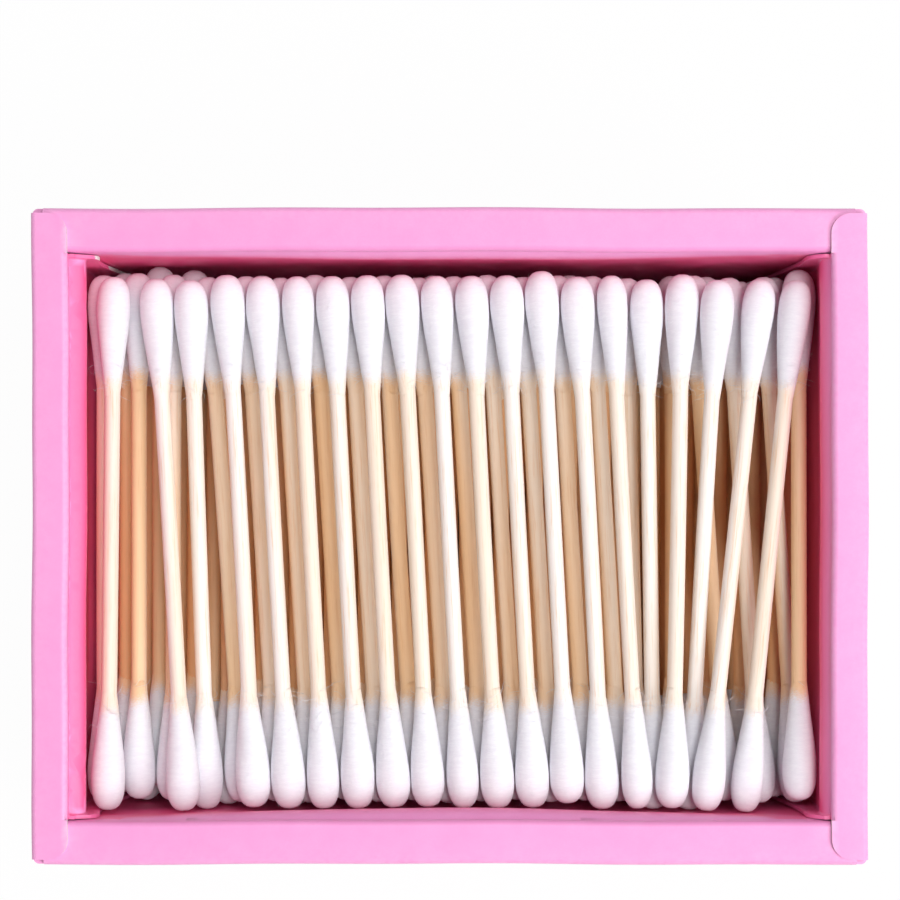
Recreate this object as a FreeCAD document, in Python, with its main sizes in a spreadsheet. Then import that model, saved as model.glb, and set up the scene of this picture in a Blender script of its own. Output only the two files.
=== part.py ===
import FreeCAD
import Part
import Sketcher
import math
import os
import random

# An open paperboard tray of the folded, hollow-wall kind, filled with wooden cotton swabs.
# X runs along the tray's long side, Y along the swabs from front to back, and Z is up.
# The origin is the middle of the tray's underside, where it stands on the table.
V = FreeCAD.Vector
doc = FreeCAD.newDocument("cotton_swab_box")

# Driving sizes, in millimetres
SIZES = [
    ("outer_length", 114.5, "tray over its end walls"),
    ("outer_height", 51.0, "table to the top of the end ledges"),
    ("swab_length", 75.0, "one swab from tip to tip"),
    ("end_play", 3.0, "how much longer the tray's opening is than a swab"),
    ("end_ledge", 5.0, "width of the ledges on the two short sides"),
    ("long_ledge", 6.0, "width of the ledges on the two long sides"),
    ("card", 0.5, "thickness of the paperboard"),
    ("fold_radius", 0.3, "inside radius of every fold"),
    ("fold_lip", 0.5, "straight card kept on each side of a fold"),
    ("lobe_radius", 2.75, "rounded inner corners of the end ledges"),
    ("end_setback", 0.8, "how far the end ledges stop short of the long faces"),
    ("long_setback", 1.6, "how far the long ledges stop short of the end faces"),
    ("glue_tab", 15.0, "tabs of the end walls, glued inside the long walls"),
    ("foot_flap", 10.0, "feet of the inner walls, glued on the base"),
    ("foot_gap", 0.6, "gap between the feet at the corners"),
    ("tuck", 2.0, "how far the long inner walls run on behind the end ones"),
    ("wing_gap", 0.2, "room between a wing and the long inner wall behind it"),
    ("wing_top", 1.6, "width of a wing at its top edge"),
    ("wing_foot", 7.5, "width of a wing at its bottom edge"),
    ("crest_depth", 2.5, "where an inner wall bows most, below its upper edge"),
    ("bow_left", 2.0, "how far the left inner wall leans into the tray at its crest"),
    ("bow_right", 1.05, "the same for the right inner wall"),
    ("bow_back", 0.75, "how far the back inner wall bows into the tray at the middle of its crest"),
    ("bow_front", 1.25, "the same for the front inner wall"),
    ("stick_diameter", 2.25, "round wooden stick"),
    ("head_diameter", 4.83, "cotton tip at its widest"),
    ("head_length", 14.5, "cotton tip from its end to its feathered neck"),
    ("belly", 3.4, "widest section of the cotton, from the tip"),
    ("neck_wrap", 0.15, "thickness of the cotton on the stick at its neck"),
    ("tip_cover", 1.5, "cotton beyond the end of the stick"),
    ("glue_line", 0.03, "room between the stick and the cotton round it"),
    ("row_gap", 0.1, "room between neighbours in a level row"),
    ("rest_gap", 0.03, "room left where one swab lies on another"),
    ("wall_gap", 0.15, "room between the outermost swabs and the inner walls"),
    ("end_gap", 0.1, "least room between the ends of the swabs and what stands before them"),
    ("row_jitter", 0.03, "how far a swab of a level row lies off its place"),
    ("fill_depth", 9.0, "the middle of the top row lies at least this far below the rim"),
]
sheet = doc.addObject("Spreadsheet::Sheet", "Sizes")
for row, (alias, size, note) in enumerate(SIZES, 1):
    sheet.set(f"A{row}", alias)
    sheet.set(f"B{row}", str(size))
    sheet.setAlias(f"B{row}", alias)
    sheet.set(f"C{row}", note)
doc.recompute()


def value(expression):
    return float(sheet.evalExpression(expression))


# Places that several panels share, as expressions on the sheet
END_FACE = "(Sizes.outer_length / 2)"
END_INNER = "(Sizes.outer_length / 2 - Sizes.end_ledge)"
LONG_INNER = "((Sizes.swab_length + Sizes.end_play) / 2)"
LONG_FACE = "((Sizes.swab_length + Sizes.end_play) / 2 + Sizes.long_ledge)"
TOP = "Sizes.outer_height"
LONG_TOP = "(Sizes.outer_height - Sizes.card)"
CARD = "Sizes.card"
INSIDE_FOLD = "Sizes.fold_radius"
OUTSIDE_FOLD = "(Sizes.fold_radius + Sizes.card)"
FOLD_REACH = "(Sizes.fold_radius + Sizes.card + Sizes.fold_lip)"
WING_FACE = "((Sizes.swab_length + Sizes.end_play) / 2 - Sizes.wing_gap)"
WING_INSIDE = "((Sizes.swab_length + Sizes.end_play) / 2 - Sizes.wing_gap - Sizes.card)"
LONG_WALL_END = "(Sizes.outer_length / 2 - Sizes.end_ledge + Sizes.tuck)"
END_HANG = "(Sizes.outer_height - Sizes.fold_radius - Sizes.card - Sizes.fold_lip)"
LONG_HANG = "(Sizes.outer_height - Sizes.card - Sizes.fold_radius - Sizes.card - Sizes.fold_lip)"
PANEL_FOOT = "(2 * Sizes.card + Sizes.fold_radius + Sizes.fold_lip)"
WIDEST = "(Sizes.head_diameter / 2)"
STICK = "(Sizes.stick_diameter / 2)"
NECK = "(Sizes.stick_diameter / 2 + Sizes.neck_wrap)"


def sketch_on(body, name, plane, height="0"):
    """A sketch on one of the body's own planes, lifted off it along the plane's normal."""
    sketch = body.newObject("Sketcher::SketchObject", name)
    support = [f for f in body.Origin.OriginFeatures if f.Role == plane]
    sketch.AttachmentSupport = [(support[0], "")]
    sketch.MapMode = "FlatFace"
    sketch.setExpression("AttachmentOffset.Base.z", height)
    return sketch


def outline(sketch, corners):
    """A closed outline of folded card. Each corner is x, y and the radius of its fold, or None."""
    points = [V(value(x), value(y), 0) for x, y, _ in corners]
    radii = [value(radius) if radius else 0.0 for _, _, radius in corners]
    count = len(corners)
    first_line = sketch.GeometryCount
    pieces, starts, ends = [], [], []
    for i in range(count):
        before = (points[i - 1] - points[i]).normalize()
        after = (points[(i + 1) % count] - points[i]).normalize()
        ends.append(points[i] + before * radii[i])
        starts.append(points[i] + after * radii[i])
    for i in range(count):
        pieces.append(Part.LineSegment(starts[i], ends[(i + 1) % count]))
    rules, tied = [], []

    def dimension(kind, line, end, number, expression):
        tied.append((len(rules), expression))
        rules.append(Sketcher.Constraint(kind, -1, 1, line, end, number))

    for i in range(count):
        into = first_line + (i - 1) % count
        out = first_line + i
        if not corners[i][2]:
            rules.append(Sketcher.Constraint("Coincident", into, 2, out, 1))
            continue
        centre = ends[i] + starts[i] - points[i]
        turn = (ends[i] - centre).cross(starts[i] - centre).z
        low, high = (ends[i], starts[i]) if turn > 0 else (starts[i], ends[i])
        from_angle = math.atan2(low.y - centre.y, low.x - centre.x)
        to_angle = math.atan2(high.y - centre.y, high.x - centre.x)
        circle = Part.Circle(centre, V(0, 0, 1), radii[i])
        fold = Part.ArcOfCircle(circle, from_angle, to_angle)
        arc = first_line + len(pieces)
        pieces.append(fold)
        first = 1 if fold.StartPoint.distanceToPoint(ends[i]) < 1e-6 else 2
        rules.append(Sketcher.Constraint("Tangent", into, 2, arc, first))
        rules.append(Sketcher.Constraint("Tangent", arc, 3 - first, out, 1))
        tied.append((len(rules), corners[i][2]))
        rules.append(Sketcher.Constraint("Radius", arc, radii[i]))
    for i in range(count):
        far = (i + 1) % count
        line = first_line + i
        run = points[far] - points[i]
        if abs(run.x) < 1e-9:
            rules.append(Sketcher.Constraint("Vertical", line))
            dimension("DistanceX", line, 1, points[i].x, corners[i][0])
        elif abs(run.y) < 1e-9:
            rules.append(Sketcher.Constraint("Horizontal", line))
            dimension("DistanceY", line, 1, points[i].y, corners[i][1])
        else:
            dimension("DistanceX", line, 1, points[i].x, corners[i][0])
            dimension("DistanceX", line, 2, points[far].x, corners[far][0])
    sketch.addGeometry(pieces)
    first_rule = sketch.ConstraintCount
    sketch.addConstraint(rules)
    for index, expression in tied:
        sketch.setExpression(f"Constraints[{first_rule + index}]", expression)


def pad(body, name, sketch, length, symmetric=False):
    feature = body.newObject("PartDesign::Pad", name)
    feature.Profile = sketch
    feature.SideType = "Symmetric" if symmetric else "One side"
    feature.setExpression("Length", length)
    return feature


def mirrored(corners):
    """The same corners on the other side of the upright axis, in an order that goes on round."""
    return [(f"-{x}", y, radius) for x, y, radius in reversed(corners)]


# An inner wall leaves its ledge, leans in to a crest and comes back to its foot. A long one bows most at
# its middle and fades to its ends
CREST_SHARPNESS = 1.3
BOW_FADING = 1.5
# Its shape is drawn in even steps past the crest, where it is all but upright, and then to its foot
STEPS_TO_CREST = 2
CREST_STEPS = 12
LOWER_SHARES = (0.42, 0.52, 0.64, 0.8, 1)


def panel_height(top):
    return value(top) - value(PANEL_FOOT)


def crest_depths():
    step = value("Sizes.crest_depth") / STEPS_TO_CREST
    return [step * number for number in range(CREST_STEPS + 1)]


def bow(top, depth):
    """How far an inner wall stands in at one depth below its upper edge, as a share of its bow."""
    if depth <= 0:
        return 0.0
    at = depth / value("Sizes.crest_depth")
    return (at * math.exp(1 - at)) ** CREST_SHARPNESS * (1 - (depth / panel_height(top)) ** 2)


def bow_along(share):
    """The same along a long inner wall, its middle being 0 and an end 1."""
    return (1 - min(1.0, abs(share)) ** 2) ** BOW_FADING


def bowed_panel(body, name, inward, amount):
    """A long inner wall, which bows most at the middle of its crest."""
    span_shares = (-1.0, -0.6, -0.25, 0.25, 0.6, 1.0)
    sections = []
    for number, share in enumerate(span_shares, 1):
        sketch = sketch_on(body, f"{name}_section_{number}", "YZ_Plane", f"{share} * {LONG_WALL_END}")
        here = value(amount) * bow_along(share)
        tray_side = []
        for depth in crest_depths() + [share * panel_height(LONG_HANG) for share in LOWER_SHARES]:
            out = inward * here * bow(LONG_HANG, depth)
            tray_side.append(V(-inward * value(LONG_INNER) + out, value(LONG_HANG) - depth, 0))
        hollow_side = [p - V(inward * value(CARD), 0, 0) for p in reversed(tray_side)]
        for run in (tray_side, hollow_side):
            curve = Part.BSplineCurve()
            curve.interpolate(run)
            sketch.addGeometry(curve)
        sketch.addGeometry(Part.LineSegment(tray_side[-1], hollow_side[0]))
        sketch.addGeometry(Part.LineSegment(hollow_side[-1], tray_side[0]))
        sections.append(sketch)
    loft_through(body, name, sections)


def loft_through(body, name, sections):
    loft = body.newObject("PartDesign::AdditiveLoft", name)
    loft.Profile = sections[0]
    loft.Sections = sections[1:]


def wing_edge(depth):
    """How far a wing's free edge is from the face of its wall: a slanting cut, rounded at its top."""
    lip = value(f"{FOLD_REACH} - {CARD}")
    slant = value("Sizes.wing_foot - Sizes.wing_top") / panel_height(END_HANG)
    width = value("Sizes.wing_top") + slant * depth
    return lip + (width - lip) * (1 - math.exp(-depth / value("Sizes.wing_top")))


def winged_panel(body, name, side, amount):
    """A short inner wall, whose wings turn the corners and lie along the long inner walls."""
    sections = []
    for number, depth in enumerate(crest_depths() + [panel_height(END_HANG)], 1):
        face = f"({END_INNER} - {bow(END_HANG, depth):.6f} * {amount})"
        inside = f"({side} * {face})"
        hollow = f"({side} * ({face} + {CARD}))"
        edge = f"({side} * ({face} - {wing_edge(depth):.6f}))"
        sketch = sketch_on(body, f"{name}_section_{number}", "XY_Plane", f"{END_HANG} - {depth}")
        outline(
            sketch,
            [
                (edge, WING_FACE, None),
                (hollow, WING_FACE, OUTSIDE_FOLD),
                (hollow, f"-{WING_FACE}", OUTSIDE_FOLD),
                (edge, f"-{WING_FACE}", None),
                (edge, f"-{WING_INSIDE}", None),
                (inside, f"-{WING_INSIDE}", INSIDE_FOLD),
                (inside, WING_INSIDE, INSIDE_FOLD),
                (edge, WING_INSIDE, None),
            ],
        )
        sections.append(sketch)
    loft_through(body, f"{name}_crest", sections[:-1])
    loft_through(body, name, sections[-2:])


def folded_tray():
    """The tray, cut and creased from one sheet: glued faces are one solid here."""
    body = doc.addObject("PartDesign::Body", "tray")
    body.Label = "tray"

    # Base, end walls and the folds at their top, as one strip across the tray
    end_lip = f"({END_FACE} - {FOLD_REACH})"
    right_side = [
        (END_FACE, "0", OUTSIDE_FOLD),
        (END_FACE, TOP, OUTSIDE_FOLD),
        (end_lip, TOP, None),
        (end_lip, LONG_TOP, None),
        (f"({END_FACE} - {CARD})", LONG_TOP, INSIDE_FOLD),
        (f"({END_FACE} - {CARD})", CARD, INSIDE_FOLD),
    ]
    strip = sketch_on(body, "end_wall_section", "XZ_Plane")
    outline(strip, right_side + mirrored(right_side))
    end_ledge_span = f"2 * ({LONG_FACE} - Sizes.end_setback)"
    pad(body, "base_and_end_walls", strip, end_ledge_span, True)

    # Base, long walls, long ledges and the folds that their inner walls hang from
    below_ledge = f"({LONG_TOP} - {CARD})"
    back_side = [
        (LONG_FACE, "0", OUTSIDE_FOLD),
        (LONG_FACE, LONG_TOP, OUTSIDE_FOLD),
        (LONG_INNER, LONG_TOP, OUTSIDE_FOLD),
        (LONG_INNER, LONG_HANG, None),
        (f"({LONG_INNER} + {CARD})", LONG_HANG, None),
        (f"({LONG_INNER} + {CARD})", below_ledge, INSIDE_FOLD),
        (f"({LONG_FACE} - {CARD})", below_ledge, INSIDE_FOLD),
        (f"({LONG_FACE} - {CARD})", CARD, INSIDE_FOLD),
    ]
    strip = sketch_on(body, "long_wall_section", "YZ_Plane")
    outline(strip, back_side + mirrored(back_side))
    long_ledge_span = f"2 * ({END_FACE} - Sizes.long_setback)"
    pad(body, "long_walls_and_ledges", strip, long_ledge_span, True)

    # Upright corners: each end wall folds round into a tab glued behind the long wall
    corner_rows = []
    for x_sign, y_sign in ((1, 1), (-1, 1), (-1, -1), (1, -1)):
        wall_x = f"({x_sign} * {END_FACE})"
        wall_y = f"({y_sign} * {LONG_FACE})"
        tab_end = f"({x_sign} * ({END_FACE} - Sizes.glue_tab))"
        seam_x = f"({x_sign} * ({END_FACE} - Sizes.long_setback - Sizes.fold_lip))"
        seam_y = f"({y_sign} * ({LONG_FACE} - {CARD} - {FOLD_REACH}))"
        wall_x_inside = f"({x_sign} * ({END_FACE} - {CARD}))"
        tab_outside = f"({y_sign} * ({LONG_FACE} - {CARD}))"
        tab_inside = f"({y_sign} * ({LONG_FACE} - 2 * {CARD}))"
        corner_rows.append(
            [
                (wall_x, seam_y, None),
                (wall_x, wall_y, OUTSIDE_FOLD),
                (seam_x, wall_y, None),
                (seam_x, tab_outside, None),
                (tab_end, tab_outside, None),
                (tab_end, tab_inside, None),
                (wall_x_inside, tab_inside, INSIDE_FOLD),
                (wall_x_inside, seam_y, None),
            ]
        )
    corners = sketch_on(body, "corner_section", "XY_Plane", OUTSIDE_FOLD)
    for row in corner_rows:
        outline(corners, row)
    pad(body, "corners_and_glue_tabs", corners, f"{LONG_TOP} - {FOLD_REACH} - {OUTSIDE_FOLD}")

    # End ledges: they lap over the long ledges with rounded lobes on each side of the inner wall
    ledge_end = f"({LONG_FACE} - Sizes.end_setback)"
    fold_line = f"({END_INNER} + {FOLD_REACH})"
    right_ledge = [
        (end_lip, f"-{ledge_end}", None),
        (end_lip, ledge_end, None),
        (END_INNER, ledge_end, "Sizes.lobe_radius"),
        (END_INNER, WING_FACE, None),
        (fold_line, WING_FACE, None),
        (fold_line, f"-{WING_FACE}", None),
        (END_INNER, f"-{WING_FACE}", None),
        (END_INNER, f"-{ledge_end}", "Sizes.lobe_radius"),
    ]
    ledges = sketch_on(body, "end_ledge_outline", "XY_Plane", LONG_TOP)
    outline(ledges, right_ledge)
    outline(ledges, mirrored(right_ledge))
    pad(body, "end_ledges", ledges, CARD)

    # Folds that the end inner walls hang from
    right_fold = [
        (fold_line, TOP, None),
        (END_INNER, TOP, OUTSIDE_FOLD),
        (END_INNER, END_HANG, None),
        (f"({END_INNER} + {CARD})", END_HANG, None),
        (f"({END_INNER} + {CARD})", LONG_TOP, INSIDE_FOLD),
        (fold_line, LONG_TOP, None),
    ]
    folds = sketch_on(body, "end_fold_section", "XZ_Plane")
    outline(folds, right_fold)
    outline(folds, mirrored(right_fold))
    pad(body, "end_inner_folds", folds, f"2 * {WING_FACE}", True)

    # Feet: each inner wall folds in along the base, where it is glued down
    for name, plane, inner, half_span in (
        ("end_feet", "XZ_Plane", END_INNER, f"({LONG_INNER} - Sizes.foot_flap - Sizes.foot_gap)"),
        ("long_feet", "YZ_Plane", LONG_INNER, f"({END_INNER} - Sizes.foot_gap)"),
    ):
        foot_end = f"({inner} - Sizes.foot_flap)"
        foot = [
            (inner, PANEL_FOOT, None),
            (inner, f"(2 * {CARD})", INSIDE_FOLD),
            (foot_end, f"(2 * {CARD})", None),
            (foot_end, CARD, None),
            (f"({inner} + {CARD})", CARD, OUTSIDE_FOLD),
            (f"({inner} + {CARD})", PANEL_FOOT, None),
        ]
        section = sketch_on(body, f"{name}_section", plane)
        outline(section, foot)
        outline(section, mirrored(foot))
        pad(body, name, section, f"2 * {half_span}", True)

    # Inner walls
    winged_panel(body, "left_inner_wall", -1, "Sizes.bow_left")
    winged_panel(body, "right_inner_wall", 1, "Sizes.bow_right")
    bowed_panel(body, "front_inner_wall", 1, "Sizes.bow_front")
    bowed_panel(body, "back_inner_wall", -1, "Sizes.bow_back")
    return body


def swab_stick():
    """The wooden stick, its middle at the origin and its length along Z."""
    body = doc.addObject("PartDesign::Body", "swab_stick")
    section = sketch_on(body, "stick_section", "XY_Plane")
    circle = section.addGeometry(Part.Circle(V(0, 0, 0), V(0, 0, 1), value("Sizes.stick_diameter / 2")))
    section.addConstraint(Sketcher.Constraint("Coincident", circle, 3, -1, 1))
    index = section.addConstraint(Sketcher.Constraint("Diameter", circle, value("Sizes.stick_diameter")))
    section.setExpression(f"Constraints[{index}]", "Sizes.stick_diameter")
    pad(body, "stick", section, "Sizes.swab_length - 2 * Sizes.tip_cover", True)
    return body


# The taper of the cotton passes its middle this far in and this far down, and leaves at this slope
SHOULDER_IN = 0.45
SHOULDER_DOWN = 0.58
NECK_SLOPE = 0.12


def cotton_tip():
    """The cotton wound on the upper end of the stick: a round tip, a belly and a long feathered neck."""
    body = doc.addObject("PartDesign::Body", "cotton_tip")
    end = value("Sizes.swab_length / 2")
    belly = value("Sizes.belly")
    widest = value(WIDEST)
    neck = value(NECK)
    length = value("Sizes.head_length")
    bore = value(f"{STICK} + Sizes.glue_line")
    bore_top = end - value("Sizes.tip_cover - Sizes.glue_line")
    profile = sketch_on(body, "cotton_profile", "XZ_Plane")
    ellipse = Part.Ellipse(V(0, end, 0), V(widest, end - belly, 0), V(0, end - belly, 0))
    profile.addGeometry(Part.ArcOfEllipse(ellipse, 0, math.pi / 2))
    taper = Part.BSplineCurve()
    shoulder_out = widest + SHOULDER_IN * (neck - widest)
    shoulder = V(shoulder_out, end - belly - SHOULDER_DOWN * (length - belly), 0)
    taper.interpolate(
        Points=[V(widest, end - belly, 0), shoulder, V(neck, end - length, 0)],
        InitialTangent=V(0, -1, 0),
        FinalTangent=V(-NECK_SLOPE, -1, 0),
    )
    profile.addGeometry(taper)
    corners = [
        V(neck, end - length, 0),
        V(bore, end - length, 0),
        V(bore, bore_top, 0),
        V(0, bore_top, 0),
        V(0, end, 0),
    ]
    for start, finish in zip(corners, corners[1:]):
        profile.addGeometry(Part.LineSegment(start, finish))
    turned = body.newObject("PartDesign::Revolution", "cotton")
    turned.Profile = profile
    turned.ReferenceAxis = (profile, ["V_Axis"])
    turned.Angle = 360
    return body


# How the swabs lie: each entry is where the widest part of a head lies in X, at the back and at the
# front, in millimetres from the tray's middle, and how far the swab has slid to the back (or, below 0,
# to the front). The top row is what the open tray shows, left to right.
TOP_ROW = [
    (-47.4, -48.1, -1.41),
    (-41.3, -37.5, -1.25),
    (-36.4, -34.6, -1.6),
    (-31.3, -27.7, -0.72),
    (-26.4, -22.75, -0.88),
    (-21.4, -17.8, -0.92),
    (-16.5, -12.9, -0.88),
    (-11.6, -8.0, -0.76),
    (-6.7, -3.1, -0.68),
    (-1.8, 1.8, -0.84),
    (3.1, 6.7, -0.84),
    (8.0, 11.6, -0.76),
    (12.9, 16.5, -0.16),
    (17.9, 21.4, -0.96),
    (22.8, 26.3, -0.79),
    (27.7, 28.9, -1.28),
    (32.6, 31.2, -0.68),
    (37.5, 34.1, -1.6),
    (43.4, 36.1, -1.2),
    (48.3, 41.7, -1.7),
]
# The swabs of the top row whose front end has slipped down beside their neighbours settle first
TOP_ORDER = [2, 15, 17, 1] + list(range(3, 15)) + [16, 0, 18, 19]
# The row below, seen between those of the top row; its last one has its front end on top of the others
SECOND_ROW = [
    (-49.3, -49.3, -0.3),
    (-44.4, -44.4, 0.0),
    (-39.4, -39.5, -0.2),
    (-34.4, -29.7, -0.5),
    (-29.0, -24.8, -0.4),
    (-24.0, -19.9, -0.6),
    (-19.1, -15.0, -0.2),
    (-14.2, -10.1, -0.5),
    (-9.3, -5.2, -0.3),
    (-4.4, -0.3, -0.6),
    (0.5, 4.6, -0.4),
    (5.4, 9.5, -0.2),
    (10.4, 14.4, -0.5),
    (15.4, 19.3, -0.3),
    (20.3, 24.2, -0.4),
    (25.2, 27.1, -0.6),
    (34.7, 39.0, -0.3),
    (39.8, 44.0, -0.6),
    (44.7, 49.2, -0.5),
    (49.6, 48.9, 0.45),
]
# One of them has its front end a row lower, so it settles before the rest
SUNK = 15
SECOND_ORDER = [SUNK] + [place for place in range(len(SECOND_ROW)) if place != SUNK]
# The opening's length and the spacing of level swabs that the two lists are for
LIST_WIDTH = 104.5
LIST_PITCH = 4.93
# The level rows slide at random between these shares of the room before their ends; in the row under
# the two listed ones, three swabs at the left have slid to the back, where they show
SLIDE_FRONT = -1.0
SLIDE_BACK = 0.3
SLID_BACK = {0: 0.5, 1: 1.4, 2: 0.9}
# Where a swab's radius is taken along it, and how much longer than it is the cotton counts there
STATIONS = 24
COTTON_SLACK = 1.5


def swab_radius(from_tip):
    """Outer radius of a swab at a distance from its tip, as wide or a little wider than the cotton is."""
    belly = value("Sizes.belly")
    widest = value(WIDEST)
    neck = value(NECK)
    taper = value("Sizes.head_length") - belly
    past_belly = from_tip - belly - COTTON_SLACK
    if past_belly <= 0:
        return widest
    if past_belly >= taper:
        return value(STICK)
    shoulder = widest + SHOULDER_IN * (neck - widest)
    share = past_belly / taper
    if share < SHOULDER_DOWN:
        return widest + (shoulder - widest) * (share / SHOULDER_DOWN) ** 2
    return shoulder + (neck - shoulder) * (share - SHOULDER_DOWN) / (1 - SHOULDER_DOWN)


def settle(fewer):
    """Lay the swabs in rows from the bottom up. Each comes to rest on those below it."""
    widest = value(WIDEST)
    touching = 2 * widest + value("Sizes.rest_gap")
    stretch = value(f"2 * {END_INNER}") / LIST_WIDTH
    between_bellies = value("Sizes.swab_length - 2 * Sizes.belly")
    pitch = value("Sizes.head_diameter + Sizes.row_gap")
    jitter = value("Sizes.row_jitter")
    row_limit = value(f"{END_INNER} - Sizes.wall_gap") - widest
    wide_row = int(2 * row_limit / pitch) + 1
    # Level rows lie in the hollows of the row below, and as many are laid as come up to the top row
    floor = value(f"2 * {CARD} + {WIDEST} + Sizes.rest_gap")
    rise = math.sqrt(touching**2 - (pitch / 2) ** 2)
    lower_rows = int((value(f"{TOP} - Sizes.fill_depth") - floor) / rise) - 1 - fewer
    radii = []
    for station in range(STATIONS + 1):
        along = station / STATIONS * between_bellies
        radii.append(swab_radius(value("Sizes.belly") + min(along, between_bellies - along)))
    chance = random.Random(11)
    laid = []

    def lay(back, front):
        depth = value(END_HANG) - floor - rise * len(rows)
        left_limit = value("Sizes.bow_left") * bow(END_HANG, depth) - row_limit
        right_limit = row_limit - value("Sizes.bow_right") * bow(END_HANG, depth)
        back = max(left_limit, min(right_limit, back))
        front = max(left_limit, min(right_limit, front))
        heights = []
        for end, x in enumerate((back, front)):
            height = floor
            for other in laid:
                apart = abs(x - other[end])
                if apart < touching:
                    height = max(height, other[2 + end] + math.sqrt(touching**2 - apart**2))
            heights.append(height)
        lift = 0.0
        for other in laid:
            for station, radius in enumerate(radii):
                share = station / STATIONS
                apart = (back - other[0]) * (1 - share) + (front - other[1]) * share
                room = 2 * radius + touching - 2 * widest
                if abs(apart) < room:
                    above = (heights[0] - other[2]) * (1 - share) + (heights[1] - other[3]) * share
                    if above > -radius:
                        lift = max(lift, math.sqrt(room**2 - apart**2) - above)
        laid.append((back, front, heights[0] + lift, heights[1] + lift))

    def lay_listed(places, order):
        """Lay a listed row, with as many swabs spread along it as the tray has room for."""
        last = len(places) - 1
        count = round(last * stretch * LIST_PITCH / pitch) + 1
        spread = []
        for slot in range(count):
            at = slot * last / (count - 1)
            low = min(int(at), last - 1)
            share = at - low
            back, front = [
                (places[low][end] * (1 - share) + places[low + 1][end] * share) * stretch
                for end in (0, 1)
            ]
            spread.append((order.index(round(at)), slot, back, front, places[round(at)][2]))
        settled = {}
        for turn, slot, back, front, slid in sorted(spread):
            lay(back, front)
            settled[slot] = (laid[-1], slid)
        return [settled[slot] for slot in range(count)]

    rows = []
    for number in range(lower_rows):
        count = wide_row - (lower_rows - number) % 2
        slots = [(slot - (count - 1) / 2) * pitch for slot in range(count)]
        if number == lower_rows - 1:
            # one swab fewer, where the front end of a swab of the row above has sunk in
            sunk = SECOND_ROW[SUNK][1] * stretch
            slots.remove(min(slots, key=lambda x: abs(x - sunk)))
        row = []
        for slot, x in enumerate(slots):
            lay(x + chance.uniform(-jitter, jitter), x + chance.uniform(-jitter, jitter))
            slid = chance.uniform(SLIDE_FRONT, SLIDE_BACK) * value("Sizes.end_play / 2")
            if number == lower_rows - 1:
                slid = SLID_BACK.get(slot, slid)
            row.append((laid[-1], slid))
        rows.append(row)
    rows.append(lay_listed(SECOND_ROW, SECOND_ORDER))
    rows.append(lay_listed(TOP_ROW, TOP_ORDER))
    return rows


def standing_before(tip, amount):
    """How far the wall before a swab's tip, or a wing on it, stands in from the wall's upper edge."""
    depth = value(LONG_HANG) - tip.z
    wall = value(amount) * bow_along(tip.x / value(LONG_WALL_END)) * bow(LONG_HANG, depth)
    short_bow = value("Sizes.bow_left" if tip.x < 0 else "Sizes.bow_right")
    face = value(END_INNER) - short_bow * bow(END_HANG, value(END_HANG) - tip.z)
    beside = face - wing_edge(value(END_HANG) - tip.z) - abs(tip.x)
    # a tip beside a wing's edge passes it by as much as the cotton is rounded
    share = max(0.0, min(1.0, beside / value(WIDEST)))
    wing = value(f"{CARD} + Sizes.wing_gap") - value("Sizes.belly") * (1 - math.sqrt(1 - share**2))
    return max(wall, wing)


def placement(place, slid):
    """Where a swab lies, from the X and Z of its two heads, slid along as far as it has room."""
    back_x, front_x, back_z, front_z = place
    reach = value("Sizes.swab_length - 2 * Sizes.belly")
    across = back_x - front_x
    rise = back_z - front_z
    deep = math.sqrt(reach**2 - across**2 - rise**2)
    turn = FreeCAD.Rotation(V(0, 0, 1), V(across, deep, rise))
    centre = V((back_x + front_x) / 2, 0, (back_z + front_z) / 2)
    back, front = [centre + turn.multVec(V(0, 0, end * value("Sizes.swab_length / 2"))) for end in (1, -1)]
    clear = value(f"{LONG_INNER} - Sizes.end_gap")
    to_back = clear - back.y - standing_before(back, "Sizes.bow_back")
    to_front = clear + front.y - standing_before(front, "Sizes.bow_front")
    centre.y = max(-to_front, min(to_back, slid))
    return FreeCAD.Placement(centre, turn)


def node(label, master, placements):
    """One named piece, or a group of like pieces, each a copy of the master where it lies."""
    copies = doc.addObject("App::Link", f"{label}_copies")
    copies.LinkedObject = master
    copies.ShowElement = False
    copies.ElementCount = len(placements)
    copies.PlacementList = placements
    group = doc.addObject("Part::Compound", label)
    group.Label = label
    group.Links = [copies]
    return group


tray = folded_tray()
stick = swab_stick()
tip = cotton_tip()
doc.recompute()

other_end = FreeCAD.Placement(V(0, 0, 0), FreeCAD.Rotation(V(1, 0, 0), 180))
nodes = [tray]
# One row fewer as long as a swab would stand above the rim
fewer = 0
rows = settle(fewer)
while max(max(place[2:]) for row in rows for place, slid in row) > value(f"{TOP} - {WIDEST}"):
    fewer += 1
    rows = settle(fewer)
for number, row in enumerate(rows, 1):
    lying = [placement(place, slid) for place, slid in row]
    if number < len(rows):
        heads = [p.multiply(turn) for p in lying for turn in (FreeCAD.Placement(), other_end)]
        nodes.append(node(f"layer_{number}_sticks", stick, lying))
        nodes.append(node(f"layer_{number}_cotton_tips", tip, heads))
        continue
    for place_number, place in enumerate(lying, 1):
        heads = [place.multiply(turn) for turn in (FreeCAD.Placement(), other_end)]
        nodes.append(node(f"top_stick_{place_number:02d}", stick, [place]))
        nodes.append(node(f"top_cotton_tips_{place_number:02d}", tip, heads))
doc.recompute()

for item in doc.Objects:
    if "Invalid" in item.State or "Error" in item.State:
        raise RuntimeError(f"{item.Name} is {item.State}")
for item in nodes:
    if item.Shape.isNull() or not item.Shape.isValid():
        raise RuntimeError(f"{item.Label} has no valid shape")

os.makedirs("parts", exist_ok=True)
for item in nodes:
    item.Shape.exportStep(f"parts/{item.Label}.step")
    print(f"{item.Label}: {len(item.Shape.Solids)} solids, {item.Shape.Volume:.0f} mm3")
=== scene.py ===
import math

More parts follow.
